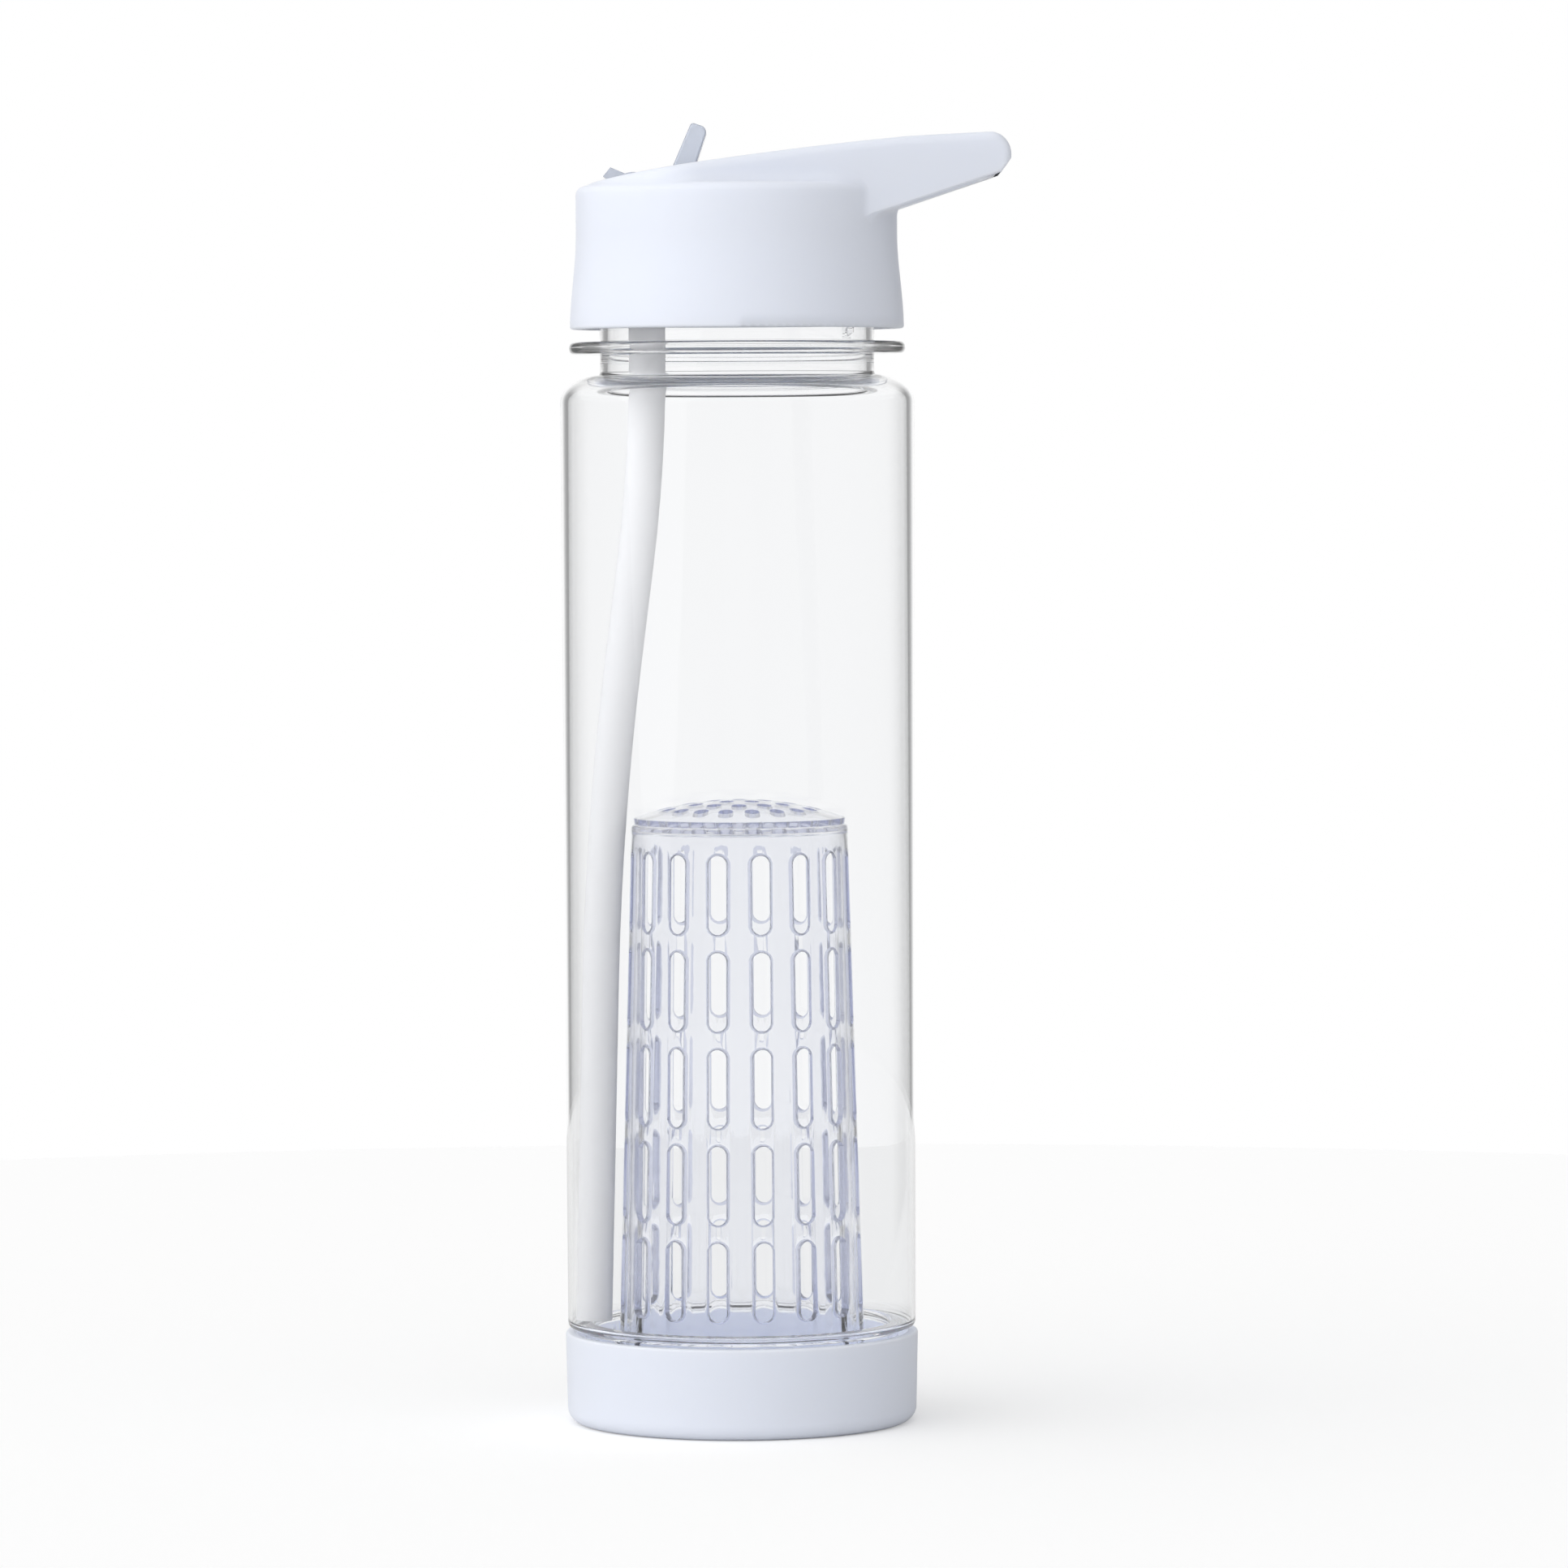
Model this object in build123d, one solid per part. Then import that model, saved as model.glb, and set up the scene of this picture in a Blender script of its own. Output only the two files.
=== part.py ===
"""Fruit infuser water bottle: a clear barrel with a screw lid, carry loop, flip spout and straw
above, and a screw base that holds a slotted fruit basket below.

Millimetres. The origin is the centre of the foot on the bottle's axis, +Z is up, and the carry
loop points along +X. Threads are left plain: each neck keeps the room that its thread needs.
"""

import os
from math import pi, radians, sqrt, tan

from build123d import *

# Clearances and cutter overrun, used all over
overrun = 1.0  # how far a cutter runs past the face that it cuts
running_gap = 0.05  # radial clearance of a pin in its hole
loose_gap = 0.3  # clearance beside a moving piece
thread_height = 1.0  # height of the screw threads on both necks
thread_gap = 0.4  # clearance between a thread's crest and the cap's wall

# Base cup
cup_height = 18.3
cup_draft = 0.4  # the cup is this much smaller in radius at its foot
cup_corner = 3.0  # rounded corner at the foot
cup_edge = 0.5  # rounding of the rim
cup_floor = 2.0
foot_recess = 0.8  # depth of the hollow inside the foot ring
foot_ring_width = 7.1
foot_ring_corner = 0.4

# Bayonet collar in the base, and the lugs of the basket that turn in it
collar_wall = 1.8
tab_height = 1.8
tab_count = 3
tab_angle = 30.0
lug_height = 1.9
lug_reach = 1.7  # how far a lug stands out from the basket
lug_angle = 24.0
stop_angle = 3.0

# Gaskets
base_gasket_height = 2.0
lid_gasket_height = 1.8
gasket_lip = 0.7  # how far a gasket stands past the rim that presses on it
gasket_edge = 0.4

# Clear bottle
barrel_r = 35.5
barrel_wall = 1.5
rim_gap = 0.4  # seen between the cup and the bottle
rim_corner = 1.5
lower_neck_step = 3.6  # the lower neck is this much smaller in radius than the barrel
lower_neck_wall = 1.9
barrel_height = 182.3  # from the rim over the cup to the shoulder
shoulder_rise = 9.6
neck_step = 7.7  # the upper neck is this much smaller in radius than the barrel
neck_wall = 1.9
neck_height = 24.8
neck_fillet = 0.7
bead_drop = 19.4  # from the neck's top down to the bead
bead_reach = 5.2  # how far the bead stands out from the neck
bead_tip = 1.3
bead_root = 2.2

# Fruit basket
basket_gap = 5.4  # between the basket's foot and the lower neck's bore
basket_taper = 3.2  # the basket is this much smaller in radius at its top
basket_wall = 2.0
basket_height = 118.4  # up to the corner under the domed roof
basket_corner = 2.2
basket_crown = 4.2  # rise of the domed roof
slot_rows = 5
slots_per_row = 16
slot_share = 0.56  # a slot's share of its pitch round the basket's top
slot_bridge = 2.75  # plain wall between two rows
slot_foot = 19.3  # plain wall under the lowest row
slot_head = 5.6  # plain wall over the highest row
hole_r = 1.5
hole_rings = 3
hole_margin = 7.6  # from the outermost ring of holes to the basket's side

# Lid
lid_gap = 2.7  # seen between the bead and the skirt
lid_wall = 3.0
lid_flare = 1.3  # the skirt is this much wider at its lower edge
flare_height = 18.7
skirt_edge = 0.6
skirt_lead_in = 1.9  # how much the bore opens at its mouth
lead_in_height = 3.6
drum_rise = 11.2  # from the gasket's seat to the drum's top
drum_edge = 1.8
seat_land = 4.7  # width of the face that presses on the gasket
roof_wall = 2.2

# Deck and carry loop
loop_reach = 22.6  # how far the tip stands out from the drum
tip_rise = 11.1  # height of the tip over the drum's top
tip_depth = 6.98  # height of the tip itself
deck_crown = 1.1  # sagitta of the crest line
deck_inset = 5.05  # from the deck's round edge to its side, at the bottle's axis
tip_half_width = 13.0
underside_slope = 20.8  # in degrees
deck_blend = 12.0  # rounding in plan where the sides leave the drum's edge
tip_corner = 4.0
tip_lower_corner = 2.0
arm_width = 6.4
end_bar = 6.8
loop_lip = 1.2  # the loop's opening stops this far from the drum
loop_corner = 3.5
deck_edge = 1.8
underside_edge = 0.6
loop_edge = 1.0
deck_to_drum = 3.0  # soft blend where the deck and loop meet the drum

# Flip spout, drawn closed; each run and rise is measured from the pivot
pivot_inset = 11.7  # from the drum's side
pivot_drop = 2.5  # below the drum's top
hub_r = 5.2
hub_half_length = 6.1
trunnion_r = 2.0
trunnion_length = 1.7
spout_drop = 1.2  # the mouthpiece lies this far below the pivot
spout_reach = 28.5  # from the pivot to the lip
spout_root_r = 4.5
spout_tip_r = 4.0
lip_r = 4.5
lip_length = 2.4
spout_bore_r = 2.5
tab_foot_run = 4.55
tab_foot_width = 5.3
tab_top_run = 11.6
tab_top_rise = 15.1
tab_top_width = 3.3
tab_top_fall = 1.1
tab_corner = 0.7
tab_edge = 0.5
thumb_width = 9.6
heel_r = 7.75
heel_left = (-6.1, 4.4)
heel_top = (-4.6, 6.2)
heel_right = (-1.1, 4.7)
heel_half_length = 4.6

# Pocket for the spout in the lid
pocket_wall = 2.4
pocket_depth = 6.65  # from the pivot to the pocket's floor
pocket_end_gap = 2.5
pocket_corner = 2.5
pocket_rim = 0.5

# Spout seat, straw spigot, straw and air valve
seat_back = 2.2  # the seat starts this far behind the pivot
seat_length = 8.2
seat_height = 3.4
seat_half_width = 4.8
port_r = 2.1
spigot_run = 2.4  # from the pivot
spigot_length = 9.0
spigot_wall = 0.85
straw_r = 3.7
straw_wall = 0.7
straw_bend_drop = 8.0  # from the barrel's shoulder to the upper bend
straw_knee_lean = 2.55  # how far the run under the knee leans out
straw_side_gap = 0.45  # between the straw's end and the barrel's wall
straw_rest = 0.3  # gap under the straw's end
bend_share = 0.45  # each bend takes this share of the runs beside it
valve_run = 24.1  # from the pivot
valve_hole_r = 1.5
valve_flange_r = 3.4
valve_flange_height = 1.0
valve_head_r = 2.1
valve_head_height = 0.5
valve_bill_length = 4.6
valve_bore_r = 0.5
valve_bill_width = 0.9

# Places and radii that follow from the sizes above, from the foot up
cup_r = barrel_r
foot_ring_r = cup_r - cup_draft - foot_ring_width
floor_z = foot_recess + cup_floor
rim_z = cup_height + rim_gap
shoulder_z = rim_z + barrel_height
neck_top_z = shoulder_z + shoulder_rise + neck_height
bead_z = neck_top_z - bead_drop
neck_r = barrel_r - neck_step
bead_r = neck_r + bead_reach
lower_neck_z = floor_z + base_gasket_height
lower_neck_r = barrel_r - lower_neck_step
lower_bore_r = lower_neck_r - lower_neck_wall
cup_bore_r = lower_neck_r + thread_height + thread_gap
inner_r = barrel_r - barrel_wall
inner_floor_z = rim_z + barrel_wall
bore_r = neck_r - neck_wall
basket_foot_r = lower_bore_r - basket_gap
basket_top_r = basket_foot_r - basket_taper
basket_z = floor_z + basket_height
slot_length = (basket_height - slot_foot - slot_head - (slot_rows - 1) * slot_bridge) / slot_rows
slot_width = slot_share * 2 * pi * basket_top_r / slots_per_row
slot_pitch = slot_length + slot_bridge
slot_first_z = floor_z + slot_foot + slot_length / 2
hole_ring_step = (basket_top_r - hole_margin) / hole_rings
lid_z = bead_z + bead_root / 2 + lid_gap
lid_bore_r = neck_r + thread_height + thread_gap
lid_r = lid_bore_r + lid_wall
seat_z = neck_top_z + lid_gasket_height
drum_top_z = seat_z + drum_rise
cavity_r = lid_bore_r - seat_land
deck_r = lid_r - drum_edge
deck_half_width = deck_r - deck_inset
tip_x = lid_r + loop_reach
tip_z = drum_top_z + tip_rise
pivot_x = pivot_inset - lid_r
pivot_z = drum_top_z - pivot_drop
tab_foot_x = pivot_x + tab_foot_run
tab_top_x = pivot_x + tab_top_run
tab_top_z = pivot_z + tab_top_rise
pocket_r = heel_r + loose_gap + running_gap
pocket_z = pivot_z - pocket_depth
pocket_half_width = hub_half_length + loose_gap
pocket_end_x = pivot_x + spout_reach + pocket_end_gap
spout_z = pivot_z - spout_drop
spigot_x = pivot_x + spigot_run
spigot_r = port_r + spigot_wall
valve_x = pivot_x + valve_run
straw_bend_z = shoulder_z - straw_bend_drop
straw_knee_z = basket_z
straw_end_x = straw_r + straw_side_gap - inner_r
straw_knee_x = straw_end_x + straw_knee_lean


def spun(face):
    """Revolve a half-section, drawn with X as radius and Y as height."""
    return revolve(Plane.XZ * face, axis=Axis.Z)


def spun_outline(points, *rounds):
    """Revolve a polygon after rounding corners; each round is (x, z, radius)."""
    return spun(rounded(make_face(Polyline(*points, close=True)), *rounds))


def rounded(face, *rounds):
    """Round the corners of a flat face that lie nearest to the given places."""
    for x, z, radius in rounds:
        corner = face.vertices().sort_by_distance(Vector(x, z, 0))[0]
        face = fillet(corner, radius)
    return face


def ring(outside, inside, low_z, high_z, edge=0):
    """A plain ring about the bottle's axis."""
    points = [(inside, low_z), (outside, low_z), (outside, high_z), (inside, high_z)]
    rounds = [(x, z, edge) for x, z in points] if edge else []
    return spun_outline(points, *rounds)


def prism(face, half_width):
    """Extrude a side-view face, drawn in X and Z, to both sides of the middle plane."""
    return extrude(Plane.XZ * face, amount=half_width, both=True)


def sector(inner, outer, low_z, high_z, middle, spread):
    """A piece of a ring between two radii, centred on an angle."""
    points = [(inner, low_z), (outer, low_z), (outer, high_z), (inner, high_z)]
    face = Plane.XZ * make_face(Polyline(*points, close=True))
    piece = revolve(face, axis=Axis.Z, revolution_arc=spread)
    return Rot(0, 0, middle - spread / 2) * piece


def dome_edge(radius, low_z, rise):
    """Half of a shallow dome's arc, from the rim to the axis."""
    sphere_r = (radius**2 + rise**2) / (2 * rise)
    centre_z = low_z + rise - sphere_r
    half = radius / 2
    return ThreePointArc((radius, low_z), (half, centre_z + sqrt(sphere_r**2 - half**2)), (0, low_z + rise))


def base_cup():
    """Screw base: cup, foot ring, threaded bore left plain, and the bayonet collar."""
    foot_r = cup_r - cup_draft
    points = [
        (0, foot_recess),
        (foot_ring_r, foot_recess),
        (foot_ring_r, 0),
        (foot_r, 0),
        (cup_r, cup_height),
        (cup_bore_r, cup_height),
        (cup_bore_r, floor_z),
        (0, floor_z),
    ]
    cup = spun_outline(
        points,
        (foot_ring_r, 0, foot_ring_corner),
        (foot_r, 0, cup_corner),
        (cup_r, cup_height, cup_edge),
        (cup_bore_r, cup_height, cup_edge),
        (cup_bore_r, floor_z, cup_edge),
    )
    return cup + bayonet_collar()


def bayonet_collar():
    """Ring on the cup's floor with inward tabs that hold the basket's lugs down."""
    wall_in = basket_foot_r + lug_reach + loose_gap
    tab_in = basket_foot_r + loose_gap
    tab_z = floor_z + lug_height + 2 * loose_gap
    top_z = tab_z + tab_height
    collar = ring(wall_in + collar_wall, wall_in, floor_z, top_z)
    for number in range(tab_count):
        middle = number * 360 / tab_count
        collar += sector(tab_in, wall_in + collar_wall / 2, tab_z, top_z, middle, tab_angle)
        stop = middle - lug_angle / 2 - stop_angle
        collar += sector(tab_in, wall_in + collar_wall / 2, floor_z, top_z, stop, stop_angle)
    return collar


def base_gasket():
    """Silicone ring that the bottle's lower neck presses on."""
    outer = cup_bore_r - loose_gap
    return ring(outer, lower_bore_r - gasket_lip, floor_z, lower_neck_z, gasket_edge)


def bottle_outside():
    """The bottle as if it were solid, with the bead under the lid."""
    edge = neck_wall / 3
    root, tip = bead_root / 2, bead_tip / 2
    before = [
        (0, lower_neck_z),
        (lower_neck_r, lower_neck_z),
        (lower_neck_r, rim_z),
        (barrel_r, rim_z),
        (barrel_r, shoulder_z),
    ]
    after = [
        (neck_r, shoulder_z + shoulder_rise),
        (neck_r, bead_z - root),
        (bead_r, bead_z - tip),
        (bead_r, bead_z + tip),
        (neck_r, bead_z + root),
        (neck_r, neck_top_z),
        (0, neck_top_z),
        (0, lower_neck_z),
    ]
    shoulder = EllipticalCenterArc((neck_r, shoulder_z), barrel_r - neck_r, shoulder_rise, arc_size=90)
    face = make_face([*Polyline(*before).edges(), shoulder, *Polyline(*after).edges()])
    face = rounded(
        face,
        (lower_neck_r, lower_neck_z, edge),
        (lower_neck_r, rim_z, edge),
        (barrel_r, rim_z, rim_corner),
        (neck_r, shoulder_z + shoulder_rise, neck_fillet),
        (neck_r, bead_z - root, neck_fillet),
        (bead_r, bead_z - tip, bead_tip / 3),
        (bead_r, bead_z + tip, bead_tip / 3),
        (neck_r, bead_z + root, neck_fillet),
        (neck_r, neck_top_z, edge),
    )
    return spun(face)


def bottle_inside():
    """The space inside the bottle, open at both necks."""
    rise = shoulder_rise - barrel_wall
    before = [
        (0, lower_neck_z - overrun),
        (lower_bore_r, lower_neck_z - overrun),
        (lower_bore_r, inner_floor_z),
        (inner_r, inner_floor_z),
        (inner_r, shoulder_z),
    ]
    after = [
        (bore_r, shoulder_z + rise),
        (bore_r, neck_top_z + overrun),
        (0, neck_top_z + overrun),
        (0, lower_neck_z - overrun),
    ]
    shoulder = EllipticalCenterArc((bore_r, shoulder_z), inner_r - bore_r, rise, arc_size=90)
    face = make_face([*Polyline(*before).edges(), shoulder, *Polyline(*after).edges()])
    face = rounded(
        face,
        (lower_bore_r, inner_floor_z, neck_fillet),
        (inner_r, inner_floor_z, rim_corner / 2),
        (bore_r, shoulder_z + rise, neck_fillet),
    )
    return spun(face)


def bottle_body():
    """Clear moulded bottle, a neck at each end."""
    return bottle_outside() - bottle_inside()


def basket_shell():
    """Tapered basket with a domed roof, open below."""
    slope = (basket_foot_r - basket_top_r) / (basket_z - floor_z)
    inner_z = basket_z - basket_wall
    inner_foot = basket_foot_r - basket_wall + slope * overrun
    inner_top = basket_top_r - basket_wall
    outside = [
        *Polyline((0, floor_z), (basket_foot_r, floor_z), (basket_top_r, basket_z)).edges(),
        dome_edge(basket_top_r, basket_z, basket_crown),
        Line((0, basket_z + basket_crown), (0, floor_z)),
    ]
    inside = [
        *Polyline((0, floor_z - overrun), (inner_foot, floor_z - overrun), (inner_top, inner_z)).edges(),
        dome_edge(inner_top, inner_z, basket_crown),
        Line((0, inner_z + basket_crown), (0, floor_z - overrun)),
    ]
    outer_face = rounded(make_face(outside), (basket_top_r, basket_z, basket_corner))
    inner_face = rounded(make_face(inside), (inner_top, inner_z, basket_wall / 2))
    return spun(outer_face) - spun(inner_face)


def basket_slots():
    """Round-ended slots, in rows round the basket."""
    pitch = 360 / slots_per_row
    reach = basket_foot_r + overrun
    start = basket_top_r / 2
    slot = extrude(Plane.YZ.offset(start) * Rot(0, 0, 90) * SlotOverall(slot_length, slot_width), reach - start)
    return [
        Rot(0, 0, (place + 1 / 2) * pitch) * Pos(0, 0, slot_first_z + row * slot_pitch) * slot
        for row in range(slot_rows)
        for place in range(slots_per_row)
    ]


def roof_holes():
    """Round holes in rings over the roof, one in the middle."""
    depth = basket_crown + basket_wall + basket_corner
    drill = Pos(0, 0, basket_z + basket_crown - depth) * extrude(Circle(hole_r), depth + overrun)
    holes = [drill]
    for number in range(1, hole_rings + 1):
        for place in range(6 * number):
            holes.append(Rot(0, 0, place * 60 / number) * Pos(number * hole_ring_step, 0, 0) * drill)
    return holes


def infuser_basket():
    """Slotted fruit basket with bayonet lugs at its foot."""
    basket = basket_shell() - basket_slots() - roof_holes()
    low_z = floor_z + loose_gap
    root = basket_foot_r - basket_wall / 2
    for number in range(tab_count):
        middle = number * 360 / tab_count
        basket += sector(root, basket_foot_r + lug_reach, low_z, low_z + lug_height, middle, lug_angle)
    return basket


def drum_outside():
    """The lid's round body: straight above, with a gentle flare to the skirt."""
    flare_z = lid_z + flare_height
    third = flare_height / 3
    wide = lid_r + lid_flare
    flare = Bezier((wide, lid_z), (wide, lid_z + third), (lid_r, flare_z - third), (lid_r, flare_z))
    face = make_face(
        [
            Line((0, lid_z), (wide, lid_z)),
            flare,
            *Polyline((lid_r, flare_z), (lid_r, drum_top_z), (0, drum_top_z), (0, lid_z)).edges(),
        ]
    )
    face = rounded(face, (wide, lid_z, skirt_edge), (lid_r, drum_top_z, drum_edge))
    return spun(face)


def crest(lower=0):
    """The deck's crest line in side view, from the drum's left edge to the loop's tip."""
    return SagittaArc((-lid_r, drum_top_z - lower), (tip_x, tip_z - lower), deck_crown)


def underside_at(x):
    """Height of the loop's sloping underside."""
    return tip_z - tip_depth + (x - tip_x) * tan(radians(underside_slope))


def half_width_at(x):
    """Half of the deck's width."""
    return deck_half_width + (tip_half_width - deck_half_width) * x / tip_x


def deck_side():
    """Side view of the deck and the loop."""
    inside_x = lid_r / 2
    low_z = underside_at(inside_x)
    cut_x = tip_x - tip_lower_corner
    line = crest()
    face = make_face(
        [
            line,
            *Polyline(
                line @ 1,
                (tip_x, underside_at(tip_x) + tip_lower_corner),
                (cut_x, underside_at(cut_x)),
                (inside_x, low_z),
                (-lid_r, low_z),
                line @ 0,
            ).edges(),
        ]
    )
    return rounded(face, (tip_x, tip_z, tip_corner))


def tapered_plan(start_x, end_x, inset=0):
    """A flat outline between the deck's converging sides."""
    near, far = half_width_at(start_x) - inset, half_width_at(end_x) - inset
    return make_face(Polyline((start_x, -near), (end_x, -far), (end_x, far), (start_x, near), close=True))


def deck_plan():
    """Plan of the deck and the loop: round over the drum, then tapering to the tip."""
    overlap = deck_r / 3
    beyond = Pos((tip_x - overlap) / 2, 0) * Rectangle(tip_x + overlap, 4 * deck_r)
    plan = tapered_plan(-lid_r, tip_x) & (Circle(deck_r) + beyond)
    return fillet(plan.vertices().sort_by(Axis.X)[:2], deck_blend)


def loop_opening():
    """Plan of the opening in the carry loop."""
    opening = tapered_plan(lid_r / 2, tip_x - end_bar, arm_width) - Circle(lid_r + loop_lip)
    return fillet(opening.vertices(), loop_corner)


def deck_outline_edges(deck):
    """The edge all round the deck's top, and the two upright edges of the tip."""
    upright = deck.edges().filter_by(Axis.Z).sort_by(Axis.X)[-2:]
    curved_tops = [face for face in deck.faces().filter_by(GeomType.CYLINDER) if face.normal_at(face.center()).Z > 0]
    rims = [edge for face in curved_tops for edge in face.edges() if edge.geom_type != GeomType.LINE]
    return [*rims, *upright]


def deck_and_loop():
    """Raised deck that carries on past the drum as the carry loop."""
    deck = extrude(deck_plan(), tip_z + deck_crown) & prism(deck_side(), 2 * deck_r)
    deck = fillet(deck_outline_edges(deck), deck_edge)
    below = [
        edge
        for edge in deck.edges().filter_by(Axis.Z, reverse=True)
        if (edge @ 0.5).X > lid_r / 2 and (edge @ 0.5).Z < underside_at((edge @ 0.5).X) + tip_lower_corner
    ]
    deck = fillet(below, underside_edge)
    plan = loop_opening()
    deck -= extrude(plan, tip_z + deck_crown)
    reach = plan.bounding_box().max
    inner = [
        edge
        for edge in deck.edges().filter_by(Axis.Z, reverse=True)
        if lid_r < (edge @ 0.5).X < reach.X + overrun / 2 and abs((edge @ 0.5).Y) < reach.Y + overrun / 2
    ]
    return fillet(inner, loop_edge)


def pocket_plan(grow=0):
    """Plan of the spout's pocket."""
    low_x = pivot_x - pocket_r - grow
    high_x = pocket_end_x + grow
    size = (high_x - low_x, 2 * (pocket_half_width + grow))
    return Pos((low_x + high_x) / 2, 0) * RectangleRounded(*size, pocket_corner)


def lid_inside():
    """The threaded bore, left plain, and the hollow under the deck."""
    mouth = lid_bore_r + skirt_lead_in
    points = [
        (0, lid_z - overrun),
        (mouth, lid_z - overrun),
        (mouth, lid_z),
        (lid_bore_r, lid_z + lead_in_height),
        (lid_bore_r, seat_z),
        (0, seat_z),
    ]
    bore = spun_outline(points, (lid_bore_r, lid_z + lead_in_height, lead_in_height / 2))
    low_z = seat_z - overrun
    hollow = ring(cavity_r, 0, low_z, drum_top_z - roof_wall)
    under_deck = extrude(tapered_plan(-cavity_r, cavity_r, roof_wall), tip_z) & ring(cavity_r, 0, low_z, tip_z)
    line = crest(roof_wall)
    side = make_face([line, *Polyline(line @ 1, (tip_x, low_z), (-lid_r, low_z), line @ 0).edges()])
    hollow += under_deck & prism(side, cavity_r)
    hollow -= Pos(0, 0, low_z) * extrude(pocket_plan(pocket_wall), tip_z)
    return bore + hollow


def spout_pocket():
    """Pocket in the deck, with the trunnions' blind holes."""
    pocket = Pos(0, 0, pocket_z) * extrude(pocket_plan(), tip_z - pocket_z)
    return pocket + pivot_rod(trunnion_r + running_gap, pocket_half_width + trunnion_length)


def lid_cap():
    """Lid, deck and carry loop, moulded in one."""
    drum, deck = drum_outside(), deck_and_loop()
    body = drum + deck
    body = fillet(new_edges(drum, deck, combined=body), deck_to_drum)
    pocket = spout_pocket()
    lid = body - pocket
    lid = fillet(new_edges(body, pocket, combined=lid), pocket_rim)
    lid -= lid_inside()
    low_z = seat_z - spigot_length
    lid += Pos(spigot_x, 0, low_z) * extrude(Circle(spigot_r), spigot_length)
    lid -= Pos(spigot_x, 0, low_z - overrun) * extrude(Circle(port_r), tip_z - low_z)
    lid -= Pos(valve_x, 0, seat_z - overrun) * extrude(Circle(valve_hole_r), tip_z - seat_z)
    return lid


def lid_gasket():
    """Silicone ring between the neck's rim and the lid."""
    return ring(lid_bore_r - loose_gap, bore_r - gasket_lip, neck_top_z, seat_z, gasket_edge)


def pivot_rod(radius, half_length):
    """A cylinder across the lid on the spout's pivot line."""
    return Pos(pivot_x, 0, pivot_z) * Rot(90, 0, 0) * extrude(Circle(radius), amount=half_length, both=True)


def spout_body():
    """Hub, trunnions and mouthpiece, before the bore."""
    hub = pivot_rod(hub_r, hub_half_length) + pivot_rod(trunnion_r, hub_half_length + trunnion_length)
    lip_start = spout_reach - lip_length
    points = [
        (0, 0),
        (spout_root_r, 0),
        (spout_tip_r, lip_start - lip_length),
        (lip_r, lip_start),
        (lip_r, spout_reach),
        (0, spout_reach),
    ]
    edge = lip_length / 3
    turned = spun_outline(
        points, (lip_r, spout_reach, edge), (lip_r, lip_start, edge), (spout_tip_r, lip_start - lip_length, edge)
    )
    return hub + Pos(pivot_x, 0, spout_z) * Rot(0, 90, 0) * turned


def thumb_tab():
    """Leaning thumb tab on the mouthpiece."""
    points = [
        (tab_foot_x, spout_z),
        (tab_foot_x + tab_foot_width, spout_z),
        (tab_top_x + tab_top_width, tab_top_z - tab_top_fall),
        (tab_top_x, tab_top_z),
    ]
    face = rounded(
        make_face(Polyline(*points, close=True)),
        (tab_top_x, tab_top_z, tab_corner),
        (tab_top_x + tab_top_width, tab_top_z - tab_top_fall, 2 * tab_corner),
    )
    tab = prism(face, thumb_width / 2)
    sides = tab.faces().filter_by(Axis.Y)
    return fillet(sides.edges(), tab_edge)


def heel():
    """Small cam on the hub that stops the spout upright."""
    outline = make_face(Polyline(heel_left, heel_top, heel_right, (0, 0), close=True))
    cam = prism(Pos(pivot_x, pivot_z) * outline, heel_half_length)
    return cam & pivot_rod(heel_r, hub_half_length)


def flip_spout():
    """Translucent mouthpiece with hub, trunnions, thumb tab and heel."""
    spout = spout_body() + thumb_tab() + heel()
    length = spout_reach + 2 * hub_r
    bore = Pos(pivot_x - hub_r - overrun, 0, spout_z) * Rot(0, 90, 0) * extrude(Circle(spout_bore_r), length)
    return spout - bore


def spout_seal():
    """Silicone saddle under the hub with a hole to the straw."""
    middle = pivot_x - seat_back + seat_length / 2
    block = Pos(middle, 0, pocket_z) * extrude(Rectangle(seat_length, 2 * seat_half_width), seat_height)
    block -= pivot_rod(hub_r + running_gap, pocket_half_width)
    mouth = extrude(Circle(spout_root_r + loose_gap), spout_reach)
    block -= Pos(pivot_x - loose_gap, 0, spout_z) * Rot(0, 90, 0) * mouth
    return block - Pos(spigot_x, 0, 0) * extrude(Circle(port_r), pivot_z)


def straw_path(top_z, end_z):
    """The straw's centre line: two slight bends between straight runs."""
    points = [(spigot_x, top_z), (spigot_x, straw_bend_z), (straw_knee_x, straw_knee_z), (straw_end_x, end_z)]
    runs = [Vector(*end) - Vector(*start) for start, end in zip(points, points[1:])]
    radii = []
    for first, second in zip(runs, runs[1:]):
        turn = radians(first.get_angle(second))
        radii.append(bend_share * min(first.length, second.length) / tan(turn / 2))
    return Plane.XZ * FilletPolyline(*points, radius=radii)


def straw():
    """Drinking straw, pushed over the spigot and bent clear of the basket."""
    end_z = inner_floor_z + straw_rest
    path = straw_path(seat_z, end_z)
    start = Plane(origin=(spigot_x, 0, seat_z), z_dir=(0, 0, -1))
    wall = start * (Circle(straw_r) - Circle(straw_r - straw_wall))
    return sweep(wall, path=path)


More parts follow.
